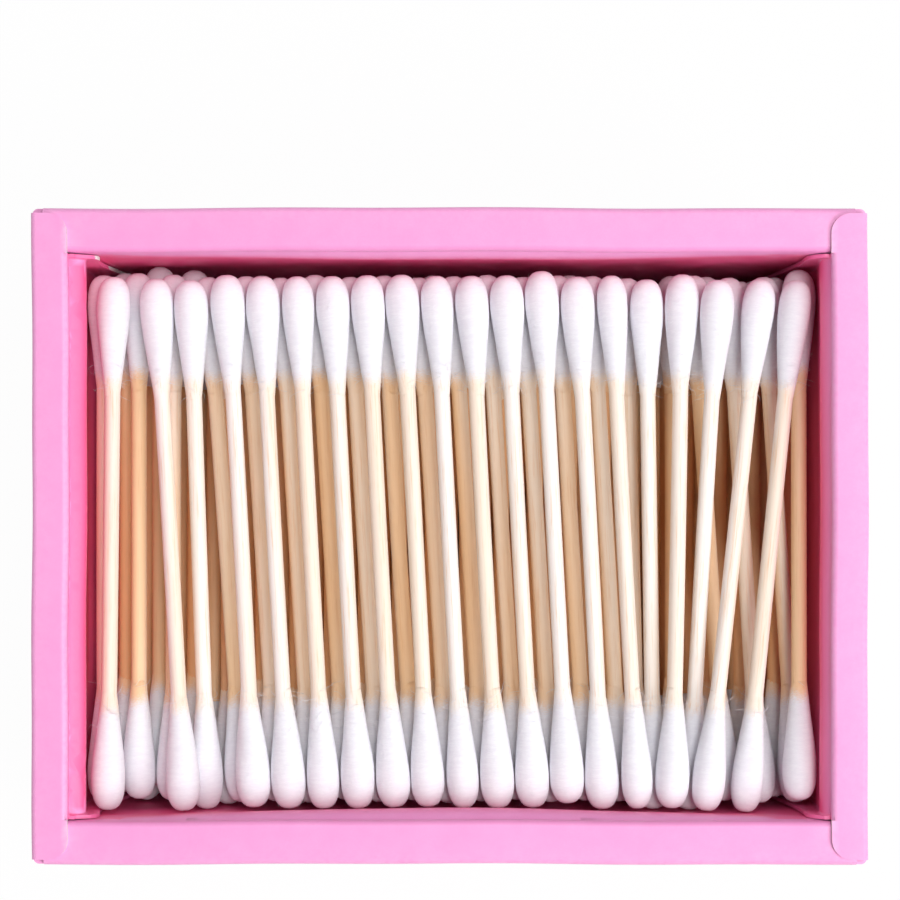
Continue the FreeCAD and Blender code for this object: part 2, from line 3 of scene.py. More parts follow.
import bmesh
import bpy
import numpy as np
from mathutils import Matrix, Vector


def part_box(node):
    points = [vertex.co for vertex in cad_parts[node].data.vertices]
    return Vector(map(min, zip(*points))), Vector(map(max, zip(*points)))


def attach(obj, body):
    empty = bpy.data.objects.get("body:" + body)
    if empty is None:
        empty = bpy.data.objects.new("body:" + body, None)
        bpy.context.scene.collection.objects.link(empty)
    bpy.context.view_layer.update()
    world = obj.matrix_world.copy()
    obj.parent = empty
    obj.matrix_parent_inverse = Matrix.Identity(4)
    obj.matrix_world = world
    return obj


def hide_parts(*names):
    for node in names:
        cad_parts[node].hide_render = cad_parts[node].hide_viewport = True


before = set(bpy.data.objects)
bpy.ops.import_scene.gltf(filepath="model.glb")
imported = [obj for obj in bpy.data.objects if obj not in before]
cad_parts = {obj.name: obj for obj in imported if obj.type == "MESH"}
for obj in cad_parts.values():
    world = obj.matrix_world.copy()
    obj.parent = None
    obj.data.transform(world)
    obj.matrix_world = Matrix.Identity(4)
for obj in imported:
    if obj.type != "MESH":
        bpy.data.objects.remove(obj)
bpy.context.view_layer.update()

# Folded paperboard tray with hollow walls, cut and creased from one sheet of white-backed board.
# Its outer side is printed pink in one flat colour under a satin varnish. The board's cut edges
# and its unprinted side stay white, and the print is a little rubbed along the folds.
TRAY_LENGTH = 114.5
TRAY_DEPTH = 90.0
TRAY_HEIGHT = 51.0
OPENING_LENGTH = 104.5
OPENING_DEPTH = 78.0
BOARD = 0.5
FOLD_ROUND = 0.9
END_WALL_TOP = 50.4
LONG_WALL_TOP = 48.5
WING_REACH = 7.7
WING_TORN_FROM, WING_TORN_TO = 46.8, 48.9
CARD_CELL = 4.0
CARD_WAVE = 0.09
LOBE_LIFT = 0.12
SHARP_FOLD = 13
WALL_SLACK = 0.06
# Share of painted shade on the corner wings, and the depth over which the inner walls darken
WING_SHADE = 0.7
SHADE_DEEPENS_WITHIN = 2.4
RUB_AT_FOLD = 0.5
RUBBED_WITHIN = 1.1
# How far the painted highlight reaches from the left end's inner fold
HIGHLIGHT_WITHIN = 0.6


def linear(code):
    """An sRGB hex colour as the linear RGBA that Blender's sockets take."""
    shares = [int(code[i : i + 2], 16) / 255 for i in (0, 2, 4)]
    return tuple(c / 12.92 if c <= 0.04045 else ((c + 0.055) / 1.055) ** 2.4 for c in shares) + (1.0,)


def add(tree, kind, inputs=None, output=0, **settings):
    """Adds a node with its settings and gives one of its outputs.

    An input takes a value, or is linked where a socket is given.
    """
    made = tree.nodes.new("ShaderNode" + kind)
    for name, setting in settings.items():
        setattr(made, name, setting)
    for key, given in (inputs or {}).items():
        if isinstance(given, bpy.types.NodeSocket):
            tree.links.new(given, made.inputs[key])
        else:
            made.inputs[key].default_value = given
    return made.outputs[output]


def new_material(name, settings):
    """A material with these settings on its Principled shader's own sockets."""
    made = bpy.data.materials.new(name)
    made.use_nodes = True
    principled = made.node_tree.nodes["Principled BSDF"]
    for key, given in settings.items():
        principled.inputs[key].default_value = given
    return made, made.node_tree, principled


def millimetres(tree):
    """Places on the object in millimetres. Every mesh lies in the tray's own frame."""
    place = add(tree, "TexCoord", output="Object")
    return add(tree, "Mapping", {"Vector": place, "Scale": (1000, 1000, 1000)})


# Settings that many nodes share: a range with eased ends, and a mix of two colours
EASED = {"interpolation_type": "SMOOTHSTEP"}
COLOURS = {"output": 2, "data_type": "RGBA"}

# Varnished print on clay-coated board: a satin surface over very fine paper fibres. The inner walls
# take a deeper pink as painted shade, darkest past their crests. The print is paler where the folds are
# rubbed, with a painted highlight along the left end's inner fold.
# Pattern sizes are in millimetres: 1 / 4.5 is four and a half fibres to one, coarse enough to show.
PRINT_PINK = "F89DD7"
PRINT_LIGHT = "FAA3DB"
PRINT_SPECK = "F597D1"
# Paler pink for print rubbed at the folds, and for the painted highlight on the left end's inner fold
RUBBED_AND_HIGHLIT_PINK = "FFD2F0"
# The pink painted in as shade deep on the inner walls
PAINTED_SHADE_PINK = "FC5F98"
MOTTLE_SIZE = 1 / 0.35
PRINT_FIBRE = 1 / 4.5
RUB_PATCH = 1 / 1.3
CARD_SWELL = 1 / 0.06
pink_card, tree, shader = new_material("pink_printed_board", {"IOR": 1.5})
place = millimetres(tree)
mottle = add(tree, "TexNoise", {"Vector": place, "Scale": 1 / MOTTLE_SIZE, "Detail": 4.0})
fibre = add(tree, "TexNoise", {"Vector": place, "Scale": 1 / PRINT_FIBRE, "Detail": 3.0})
patchy = add(tree, "TexNoise", {"Vector": place, "Scale": 1 / RUB_PATCH, "Detail": 5.0})
wide = add(tree, "TexNoise", {"Vector": place, "Scale": 1 / CARD_SWELL, "Detail": 2.0})
# Rubbing at the folds together with the painted highlight on the left inner fold
rub_and_highlight_fac = add(tree, "Attribute", output="Fac", attribute_name="rub_and_highlight")
painted_shade = add(tree, "Attribute", output="Fac", attribute_name="painted_shade")
patches = add(tree, "MapRange", {0: patchy, 1: 0.2, 2: 0.7, 3: 0.2, 4: 0.8}, **EASED)
rubbed_and_highlit = add(tree, "Math", {0: rub_and_highlight_fac, 1: patches}, operation="MULTIPLY")
mottled = add(tree, "MapRange", {0: mottle, 1: 0.2, 2: 0.8}, **EASED)
specks = add(tree, "MapRange", {0: fibre, 1: 0.25, 2: 0.75, 3: 0.0, 4: 0.3}, **EASED)
tinted = add(tree, "Mix", {0: mottled, 6: linear(PRINT_PINK), 7: linear(PRINT_LIGHT)}, **COLOURS)
speckled = add(tree, "Mix", {0: specks, 6: tinted, 7: linear(PRINT_SPECK)}, **COLOURS)
# Painted shade: the print turns a deeper pink down the inner walls and on the corner wings
shaded_print = add(tree, "Mix", {0: painted_shade, 6: speckled, 7: linear(PAINTED_SHADE_PINK)}, **COLOURS)
print_with_painted_light = add(tree, "Mix", {0: rubbed_and_highlit, 6: shaded_print, 7: linear(RUBBED_AND_HIGHLIT_PINK)}, **COLOURS)
satin = add(tree, "MapRange", {0: fibre, 1: 0.2, 2: 0.8, 3: 0.42, 4: 0.52}, **EASED)
swell = add(tree, "Bump", {"Height": wide, "Strength": 0.3, "Distance": 0.001})
grit = add(tree, "Bump", {"Height": fibre, "Strength": 0.12, "Distance": 0.00003, "Normal": swell})
tree.links.new(print_with_painted_light, shader.inputs["Base Color"])
tree.links.new(satin, shader.inputs["Roughness"])
tree.links.new(grit, shader.inputs["Normal"])

# The same board where it is bare: matt white pulp with short grey fibres
BOARD_WHITE = "F3EEEC"
BOARD_GREY = "DDD5D3"
PULP_FIBRE = 0.2
bare_board, tree, shader = new_material("bare_board_edge", {"Roughness": 0.85, "IOR": 1.45})
pulp = add(tree, "TexNoise", {"Vector": millimetres(tree), "Scale": 1 / PULP_FIBRE, "Detail": 6.0})
pulpy = add(tree, "Mix", {0: pulp, 6: linear(BOARD_WHITE), 7: linear(BOARD_GREY)}, **COLOURS)
rough = add(tree, "Bump", {"Height": pulp, "Strength": 0.4, "Distance": 0.00005})
tree.links.new(pulpy, shader.inputs["Base Color"])
tree.links.new(rough, shader.inputs["Normal"])


def is_printed(centre, normal):
    """Whether a face of the tray is printed, and not a cut edge or on the sheet's bare side.

    Faces are told apart by where they are and which way they turn. The walls lean and bow a little,
    so a face need only turn partly outwards or inwards to count.
    """
    x, y, z = (v * 1000 for v in centre)
    out_x = math.copysign(normal.x, normal.x * x)
    out_y = math.copysign(normal.y, normal.y * y)
    x, y = abs(x), abs(y)
    in_opening = x < OPENING_LENGTH / 2 + WALL_SLACK and y < OPENING_DEPTH / 2 + WALL_SLACK
    if in_opening and BOARD / 2 < z < TRAY_HEIGHT - BOARD - 0.3:
        wing_edge = y > OPENING_DEPTH / 2 - FOLD_ROUND and out_x < -0.6
        torn = wing_edge and centre[0] < 0 < centre[1] and WING_TORN_FROM < x < WING_TORN_TO
        return (out_x < -0.3 or out_y < -0.3 or (normal.z > 0.5 and z > TRAY_HEIGHT / 2)) and not torn
    if abs(normal.z) < 0.3 and z > TRAY_HEIGHT - BOARD:
        outer_fold = x > TRAY_LENGTH / 2 - FOLD_ROUND and out_x > 0.3
        inner_fold = y < OPENING_DEPTH / 2 - 0.2 and out_x < -0.3
        return outer_fold or inner_fold
    if normal.z > 0.5:
        return z > TRAY_HEIGHT - 4 * BOARD
    if normal.z < -0.5:
        return z < 0.7 * BOARD
    if out_x > 0.5:
        return x > TRAY_LENGTH / 2 - 0.7 * BOARD
    if out_y > 0.5:
        return y > TRAY_DEPTH / 2 - 0.7 * BOARD
    inner_end = out_x < -0.3 and x < OPENING_LENGTH / 2 + 0.2
    inner_long = out_y < -0.3 and y < OPENING_DEPTH / 2 + 0.2
    return inner_end or inner_long


def painted_shade_at(x, y, z):
    """How much painted shade a point takes, from 0 at the rim to 1 past an inner wall's crest."""
    if abs(x) > OPENING_LENGTH / 2 + 0.05 or abs(y) > OPENING_DEPTH / 2 + 0.05:
        return 0.0
    from_end, from_long = OPENING_LENGTH / 2 - abs(x), OPENING_DEPTH / 2 - abs(y)
    # The corner wings take a fixed share of the painted shade
    if 0.1 < from_long < FOLD_ROUND and from_end < WING_REACH and z < TRAY_HEIGHT - BOARD:
        return WING_SHADE
    top = END_WALL_TOP if from_end < from_long else LONG_WALL_TOP
    return min(1.0, max(0.0, (top - z) / SHADE_DEEPENS_WITHIN))


def fold_rub_and_highlight(x, y, z):
    """How rubbed a point is by its nearness to a fold, from 0 to 1, with a painted highlight along the
    left end's inner fold.
    """
    from_end = abs(abs(x) - TRAY_LENGTH / 2)
    from_long = abs(abs(y) - TRAY_DEPTH / 2)
    from_crest = math.hypot(abs(x) - OPENING_LENGTH / 2, z - TRAY_HEIGHT)
    nearest = min(
        math.hypot(from_end, from_long),
        math.hypot(from_end, z - TRAY_HEIGHT),
        math.hypot(from_long, z - TRAY_HEIGHT + BOARD),
        math.hypot(from_end, z),
        math.hypot(from_long, z),
        from_crest,
    )
    # Painted highlight along the left end's inner fold
    painted_highlight = 1 - from_crest / HIGHLIGHT_WITHIN if x < 0 else 0.0
    return max(0.0, RUB_AT_FOLD * (1 - nearest / RUBBED_WITHIN), painted_highlight)


def unevenness(x, y, z):
    """How far the board stands off its flat place, in slow waves that grow towards the rim."""
    sway = CARD_WAVE * (z / TRAY_HEIGHT) ** 2
    lean_x = math.sin(y * 0.09 + 0.6) + 0.6 * math.sin(y * 0.23 + z * 0.11 + 2.0)
    lean_y = math.sin(x * 0.07 + 1.9) + 0.6 * math.sin(x * 0.19 - z * 0.13 + 0.4)
    rise = math.sin(x * 0.083 + y * 0.06) + 0.5 * math.sin(x * 0.21 - y * 0.17 + 1.2)
    free = max(0.0, abs(y) - OPENING_DEPTH / 2) / (TRAY_DEPTH / 2 - OPENING_DEPTH / 2)
    on_end_ledge = z > TRAY_HEIGHT - BOARD + 0.01 and abs(x) > OPENING_LENGTH / 2 - 0.1
    lobe = LOBE_LIFT * free if on_end_ledge else 0.0
    return Vector((sway * lean_x, sway * lean_y, 0.6 * sway * rise + lobe))


def folded_tray():
    """The CAD tray's own surface, cut into small cells so that the board can stand a little uneven."""
    card = bmesh.new()
    card.from_mesh(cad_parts["tray"].data)
    bmesh.ops.remove_doubles(card, verts=card.verts, dist=1e-6)
    flat = [e for e in card.edges if len(e.link_faces) == 2 and e.calc_face_angle(1) < 1e-4]
    bmesh.ops.dissolve_edges(card, edges=flat, use_verts=True)
    low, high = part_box("tray")
    for axis in range(3):
        reach = (high[axis] - low[axis]) * 1000
        cells = max(1, round(reach / CARD_CELL))
        direction = Vector([1.0 if i == axis else 0.0 for i in range(3)])
        for cut in range(1, cells):
            through = direction * (low[axis] + (high[axis] - low[axis]) * cut / cells)
            everything = card.verts[:] + card.edges[:] + card.faces[:]
            bmesh.ops.bisect_plane(card, geom=everything, plane_co=through, plane_no=direction, dist=1e-6)
    bmesh.ops.triangulate(card, faces=card.faces)
    # How rubbed each point is, with the painted highlight on the left inner fold
    rub_and_highlight = card.verts.layers.float.new("rub_and_highlight")
    # Painted shade for each point, deepening down the inner walls
    painted_shade_layer = card.verts.layers.float.new("painted_shade")
    for face in card.faces:
        face.material_index = 0 if is_printed(face.calc_center_median(), face.normal) else 1
    for vert in card.verts:
        spot = tuple(v * 1000 for v in vert.co)
        vert[rub_and_highlight] = fold_rub_and_highlight(*spot)
        vert[painted_shade_layer] = painted_shade_at(*spot)
        vert.co += unevenness(*spot) / 1000
    made = bpy.data.meshes.new("folded_tray")
    card.to_mesh(made)
    card.free()
    made.materials.append(pink_card)
    made.materials.append(bare_board)
    for polygon in made.polygons:
        polygon.use_smooth = True
    made.set_sharp_from_angle(angle=math.radians(SHARP_FOLD))
    return made


tray = bpy.data.objects.new("folded_tray", folded_tray())
bpy.context.scene.collection.objects.link(tray)
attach(tray, "root")
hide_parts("tray")

# Birch sticks, turned round from veneer-dry splints: pale cream sapwood with fine lengthwise grain,
# a few darker streaks, and flats left by the rounding. Each is 2.25 mm thick and 72 mm long, and
# its ends are hidden in the cotton. The lower rows take warmer, darker copies of the wood's tones
# as painted shade.
STICK_RADIUS = 1.125
STICK_COVER = 1.5
WOOD_TOP = ("FFF8F2", "FEEDDA")
# Warmer, darker copies of the top row's wood tones, as painted shade for the rows below
WOOD_SHADED_BETWEEN = ("FEEDDA", "FDD5A8")
WOOD_SHADED_BELOW = ("FDD5A8", "F9C08A")
WOOD_STREAK = "EDBC8A"
WOOD_FLECK = "D59C62"
TONE_WIDTH = 1 / 0.23
GRAIN_WIDTH = 1 / 3.4
PORE_WIDTH = 1 / 9
GRAIN_STRETCH = 0.035


def birch_grain(tree, place, stretch, tones):
    """The colour of birch wood and the height of its grain, from a place drawn out along the grain."""
    drawn = add(tree, "Mapping", {"Vector": place, "Scale": stretch})
    tone = add(tree, "TexNoise", {"Vector": drawn, "Scale": 1 / TONE_WIDTH, "Detail": 1.0})
    lines = {"Vector": drawn, "Scale": 1 / GRAIN_WIDTH, "Detail": 6.0, "Roughness": 0.62}
    grain = add(tree, "TexNoise", lines)
    pores = add(tree, "TexNoise", {"Vector": drawn, "Scale": 1 / PORE_WIDTH, "Detail": 3.0})
    toned = add(tree, "MapRange", {0: tone, 1: 0.35, 2: 0.65}, **EASED)
    streaks = add(tree, "MapRange", {0: grain, 1: 0.48, 2: 0.8, 3: 0.0, 4: 0.7}, **EASED)
    flecks = add(tree, "MapRange", {0: pores, 1: 0.62, 2: 0.82, 3: 0.0, 4: 0.3}, **EASED)
    pale = add(tree, "Mix", {0: toned, 6: linear(tones[0]), 7: linear(tones[1])}, **COLOURS)
    lined = add(tree, "Mix", {0: streaks, 6: pale, 7: linear(WOOD_STREAK)}, **COLOURS)
    flecked = add(tree, "Mix", {0: flecks, 6: lined, 7: linear(WOOD_FLECK)}, **COLOURS)
    return flecked, grain


def birch(name, tones, own):
    """Birch wood. Its pattern is read from each stick's own place, or from the tray's for hidden rows."""
    made, tree, shader = new_material(name, {"IOR": 1.5})
    if own:
        place = add(tree, "Attribute", output="Vector", attribute_name="own")
        colour, grain = birch_grain(tree, place, (1.0, 1.0, GRAIN_STRETCH), tones)
    else:
        colour, grain = birch_grain(tree, millimetres(tree), (1.0, GRAIN_STRETCH, 1.0), tones)
    dull = add(tree, "MapRange", {0: grain, 1: 0.3, 2: 0.7, 3: 0.48, 4: 0.64}, **EASED)
    ridges = add(tree, "Bump", {"Height": grain, "Strength": 0.4, "Distance": 0.00006})
    tree.links.new(colour, shader.inputs["Base Color"])
    tree.links.new(dull, shader.inputs["Roughness"])
    tree.links.new(ridges, shader.inputs["Normal"])
    return made


birch_top = birch("birch_stick", WOOD_TOP, own=True)
# The rows under the top one: the same birch, warmer and darker as painted shade
birch_shaded_between = birch("birch_stick_shaded_between", WOOD_SHADED_BETWEEN, own=True)
birch_shaded_below = birch("birch_stick_shaded_in_lower_rows", WOOD_SHADED_BELOW, own=False)

# Wound cotton: bleached white fibre laid round the stick, matt and soft, thinning at the neck until
# the wood shows through it. "cover" says how much cotton there is over the stick. The windings are
# drawn about 0.4 mm apart, coarser than the fibres, so that they show.
COTTON_WHITE = "F8F8FD"
COTTON_SHADE = "F1F0F7"
WINDING_PITCH = 1 / 2.6
FLUFF_SHARE = 3.5
COTTON_SHADER = {
    "Roughness": 0.95,
    "IOR": 1.45,
    "Specular IOR Level": 0.2,
    "Sheen Weight": 0.15,
    "Sheen Roughness": 0.6,
}


def cotton(name, tones=None):
    """Bleached cotton with faint winding lines. With wood tones, it thins over its own stick's wood."""
    made, tree, shader = new_material(name, COTTON_SHADER)
    if tones:
        place = add(tree, "Attribute", output="Vector", attribute_name="own")
        wound = add(tree, "Mapping", {"Vector": place, "Scale": (1 / WINDING_PITCH, 1.0, 1.0)})
    else:
        crossing = (0.8, 1 / WINDING_PITCH, 0.8)
        wound = add(tree, "Mapping", {"Vector": millimetres(tree), "Scale": crossing})
    wraps = add(tree, "TexNoise", {"Vector": wound, "Scale": 1.0, "Detail": 4.0, "Distortion": 0.4})
    finer = {"Vector": wound, "Scale": FLUFF_SHARE, "Detail": 5.0, "Roughness": 0.6}
    fluff = add(tree, "TexNoise", finer)
    both = add(tree, "Math", {0: wraps, 1: fluff}, operation="MULTIPLY")
    lit = add(tree, "MapRange", {0: both, 1: 0.12, 2: 0.42}, **EASED)
    white = add(tree, "Mix", {0: lit, 6: linear(COTTON_SHADE), 7: linear(COTTON_WHITE)}, **COLOURS)
    if tones:
        cover = add(tree, "Attribute", output="Fac", attribute_name="cover")
        under = add(tree, "Attribute", output="Vector", attribute_name="under")
        wood, _ = birch_grain(tree, under, (1.0, 1.0, GRAIN_STRETCH), tones)
        ragged = add(tree, "Math", {0: fluff, 1: 0.9, 2: -0.45}, operation="MULTIPLY_ADD")
        covered = add(tree, "Math", {0: cover, 1: ragged}, operation="ADD")
        covering = add(tree, "MapRange", {0: covered, 1: 0.08, 2: 0.92}, **EASED)
        white = add(tree, "Mix", {0: covering, 6: wood, 7: white}, **COLOURS)
    lines = add(tree, "Bump", {"Height": wraps, "Strength": 0.16, "Distance": 0.0001})
    nap = add(tree, "Bump", {"Height": fluff, "Strength": 0.35, "Distance": 0.00007, "Normal": lines})
    tree.links.new(white, shader.inputs["Base Color"])
    tree.links.new(nap, shader.inputs["Normal"])
    return made


cotton_top = cotton("wound_cotton", WOOD_TOP)
# Its neck shows the wood in the painted-shade tones of the row under the top
cotton_shaded_neck = cotton("wound_cotton_with_shaded_neck", WOOD_SHADED_BETWEEN)
cotton_below = cotton("wound_cotton_in_lower_rows")

# The seven lowest rows, laid level in the tray. They lie under the others and are only seen in the
# gaps, so they keep the CAD's own shapes, in cotton and in birch darkened and warmed as painted shade.
LOWEST_ROWS = 7
LOWEST_KINDS = (("sticks", birch_shaded_below, "birch_wood"), ("cotton_tips", cotton_below, "cotton"))
for row in range(1, LOWEST_ROWS + 1):
    for kind, material, slot in LOWEST_KINDS:
        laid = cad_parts[f"layer_{row}_{kind}"]
        laid.data.materials.clear()
        laid.data.materials.append(material)

# The rows that show are made again in detail, each swab on its own line. A head is cotton wound
# thickest a few millimetres from its tip. It narrows to a feathered neck on the stick, with loose
# fibres standing off it.
STICK_INSET = 0.02
STICK_FLATS = 0.016
STICK_GROOVES = 0.006
STICK_BEND = 0.13
STICK_SAG = 0.08
HEAD_RADIUS = 2.41
HEAD_BELLY = 4.4
TIP_FULLNESS = 2.6
TAPER_EASE = 4.6
HEAD_LENGTH = 17.0
HEAD_LUMPS = 0.014
HEAD_LEAN = 0.09
LEAN_REACH = 9
NECK_RADIUS = 1.04
FADE_MIDDLE = 14.4
FADE_SPAN = 3.2
FADE_DRIFT = 0.5
FADE_WAVE = 0.22
FUZZ = {
    "steps": 4,
    "from_tip": (0.6, HEAD_LENGTH - 3.0),
    "reach": (0.5, 1.3),
    "lift": (0.05, 0.17),
    "curl": 0.12,
    "hug": 0.85,
    "thickness": 0.017,
}
STRAYS = {
    "steps": 9,
    "from_tip": (11.5, HEAD_LENGTH - 0.4),
    "reach": (1.3, 3.3),
    "lift": (0.25, 0.9),
    "curl": 0.35,
    "hug": 0.35,
    "thickness": 0.026,
}
chance = np.random.default_rng(23)


def stick_ends(name):
    """The back and the front end of each stick in a CAD node, in millimetres, from left to right."""
    ends = []
    cad = bmesh.new()
    cad.from_mesh(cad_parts[name].data)
    bmesh.ops.remove_doubles(cad, verts=cad.verts, dist=1e-6)
    left = set(cad.verts)
    while left:
        island, waiting = [], [left.pop()]
        while waiting:
            vert = waiting.pop()
            island.append(vert.co[:])
            for edge in vert.link_edges:
                other = edge.other_vert(vert)
                if other in left:
                    left.remove(other)
                    waiting.append(other)
        points = np.array(island) * 1000
        middle = (points[:, 1].min() + points[:, 1].max()) / 2
        halves = [points[points[:, 1] > middle], points[points[:, 1] < middle]]
        ends.append([(half.min(0) + half.max(0)) / 2 for half in halves])
    cad.free()
    return sorted(ends, key=lambda pair: pair[0][0])


def across(direction):
    """Two directions square to the one given."""
    side = np.cross(direction, (0.0, 0.0, 1.0))
    side /= np.linalg.norm(side)
    return side, np.cross(side, direction)


def sleeve(rings):
    """Points and faces of a closed sleeve from its rings, each end drawn together in one point."""
    count, around = rings.shape[:2]
    points = np.concatenate([rings.reshape(-1, 3), [rings[0].mean(0)], [rings[-1].mean(0)]])
    row = np.arange(count - 1)[:, None] * around
    here = np.arange(around)[None, :]
    after = (here + 1) % around
    quads = np.stack([row + here, row + after, row + around + after, row + around + here], -1)
    here, after = here[0], after[0]
    first, last = count * around, count * around + 1
    base = (count - 1) * around
    caps = [(first, int(b), int(a)) for a, b in zip(here, after)]
    caps += [(last, int(base + a), int(base + b)) for a, b in zip(here, after)]
    return points, quads.reshape(-1, 4).tolist() + caps


def wander(along, angle, waves, pitch):
    """A gentle unevenness over a long round thing, about 1 at its strongest."""
    total = 0.0
    for _ in range(waves):
        turns = chance.integers(1, 5)
        phase = along * chance.uniform(-pitch, pitch) + chance.uniform(0, 6.28)
        total = total + np.cos(turns * angle + phase)
    return total / math.sqrt(waves)


def stick_shape(back, front, rings, around):
    """One stick with its own places: nearly round, with flats, grooves along it and a slight bend."""
    direction = (front - back) / np.linalg.norm(front - back)
    side, up = across(direction)
    length = np.linalg.norm(front - back)
    along = np.linspace(0, length, rings)[:, None]
    angle = np.linspace(0, 2 * math.pi, around, endpoint=False)[None, :]
    radius = STICK_RADIUS - STICK_INSET + STICK_FLATS * wander(along, angle, 4, 0.03)
    grooves = STICK_GROOVES * chance.normal(0, 1, around)
    radius = radius + grooves[None, :] * np.cos(along * chance.uniform(0.05, 0.12) + angle)
    bow = np.sin(math.pi * along / length)
    x = radius * np.cos(angle) + bow * chance.uniform(-STICK_BEND, STICK_BEND)
    y = radius * np.sin(angle) + bow * chance.uniform(-STICK_SAG, STICK_SAG)
    rows = back + along[..., None] * direction + x[..., None] * side + y[..., None] * up
    local = np.stack([x, y, np.broadcast_to(along, x.shape)], -1)
    start = chance.uniform(-400, 400, 3)
    return rows, local + start, start


def head_radius(along, widest):
    """The cotton's radius at a distance from the tip: a full round tip, a belly and a long taper."""
    short = np.clip((HEAD_BELLY - along) / HEAD_BELLY, 0, 1)
    tip = widest * (1 - short**TIP_FULLNESS) ** (1 / TIP_FULLNESS)
    past = np.clip((along - HEAD_BELLY) / (HEAD_LENGTH - HEAD_BELLY), 0, 1)
    taper = past * (1 - np.exp(-TAPER_EASE * past)) / (1 - math.exp(-TAPER_EASE))
    return tip + (NECK_RADIUS - widest) * taper


def head_shape(tip, inward, widest, rings, around):
    """One head from its tip along the stick, as rings, with its own places and its cover."""
    side, up = across(inward)
    share = np.linspace(0.008, 1, rings)[:, None]
    along = HEAD_LENGTH * (0.42 * share**2 + 0.58 * share)
    angle = np.linspace(0, 2 * math.pi, around, endpoint=False)[None, :]
    body = np.clip(along / 2.5, 0, 1) * np.clip((HEAD_LENGTH - 1 - along) / 5, 0, 1)
    radius = head_radius(along, widest) * (1 + body * HEAD_LUMPS * wander(along, angle, 5, 0.9))
    radius = np.maximum(radius, 0.02)
    lean = HEAD_LEAN * np.clip(1 - along / LEAN_REACH, 0, 1) * chance.uniform(-1, 1)
    x = radius * np.cos(angle) + lean
    y = radius * np.sin(angle)
    rows = tip + along[..., None] * inward + x[..., None] * side + y[..., None] * up
    start = chance.uniform(-300, 300, 3)
    local = np.stack(np.broadcast_arrays(along, np.cos(angle), np.sin(angle)), -1)
    fade = FADE_MIDDLE + chance.uniform(-FADE_DRIFT, FADE_DRIFT)
    fade = fade + FADE_WAVE * wander(0 * along, angle, 5, 0.1)
    cover = np.clip(0.5 + (fade - along) / FADE_SPAN, 0, 1)
    return rows, local + start, cover


def strands(lines, thickness):
    """Loose fibres as fine three-sided sleeves that thin towards their ends."""
    fibres, steps = lines.shape[:2]
    step = np.gradient(lines, axis=1)
    step /= np.linalg.norm(step, axis=2, keepdims=True) + 1e-9
    side = np.cross(step, (0.31, 0.77, 0.55))
    side /= np.linalg.norm(side, axis=2, keepdims=True) + 1e-9
    other = np.cross(step, side)
    points, faces = [], []
    thin = thickness * (1 - 0.75 * np.linspace(0, 1, steps) ** 2)[None, :, None]
    for corner in range(3):
        turn = corner * 2 * math.pi / 3
        points.append(lines + thin * (math.cos(turn) * side + math.sin(turn) * other))
    points = np.stack(points, 2).reshape(-1, 3)
    for fibre in range(fibres):
        base = fibre * steps * 3
        for at in range(steps - 1):
            low = base + at * 3
            faces += [(low + a, low + b, low + 3 + b, low + 3 + a) for a, b in ((0, 1), (1, 2), (2, 0))]
        faces.append((base + 2, base + 1, base))
        far = base + (steps - 1) * 3
        faces.append((far, far + 1, far + 2))
    return points, faces


def loose_fibres(tip, inward, widest, number, kind):
    """Fibres of one kind on a head: short fuzz all over it, or long strays come away at its neck."""
    side, up = across(inward)
    along = chance.uniform(*kind["from_tip"], number)
    angle = chance.uniform(0, 2 * math.pi, number)
    out = np.cos(angle)[:, None] * side + np.sin(angle)[:, None] * up
    radius = np.maximum(head_radius(along, widest), STICK_RADIUS)
    start = tip + along[:, None] * inward + (radius - 0.03)[:, None] * out
    run = np.cross(out, inward) * chance.choice([-1, 1], number)[:, None]
    run = run + chance.normal(0, 0.5, (number, 1)) * inward
    run /= np.linalg.norm(run, axis=1, keepdims=True)
    at = np.linspace(0, 1, kind["steps"])[None, :, None]
    reach = chance.uniform(*kind["reach"], number)
    lift = chance.uniform(*kind["lift"], number)
    curl = chance.normal(0, kind["curl"], (number, 1, 3))
    curl = curl * np.sin(at * chance.uniform(2, 5, (number, 1, 1)))
    drop = (reach**2 / (2.6 * radius))[:, None, None] * at**2 * kind["hug"]
    line = start[:, None] + at * (reach[:, None] * run)[:, None]
    line = line + (lift[:, None, None] * np.sin(at * 1.7) - drop) * out[:, None] + curl * at
    return strands(line, kind["thickness"])


def laid_piece(name, parts, material, attributes):
    """One piece from shapes in millimetres, smooth, riding with the tray."""
    points, faces, start = [], [], 0
    for shape, polygons in parts:
        points.append(shape)
        faces += [[start + corner for corner in polygon] for polygon in polygons]
        start += len(shape)
    made = bpy.data.meshes.new(name)
    made.from_pydata((np.concatenate(points) / 1000).tolist(), [], faces)
    for key, kind, given in attributes:
        layer = made.attributes.new(key, kind, "POINT")
        values = np.concatenate(given).astype(np.float32)
        layer.data.foreach_set("vector" if kind == "FLOAT_VECTOR" else "value", values.ravel())
    made.materials.append(material)
    made.polygons.foreach_set("use_smooth", [True] * len(made.polygons))
    made.update()
    piece = bpy.data.objects.new(name, made)
    bpy.context.scene.collection.objects.link(piece)
    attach(piece, "root")
    return piece


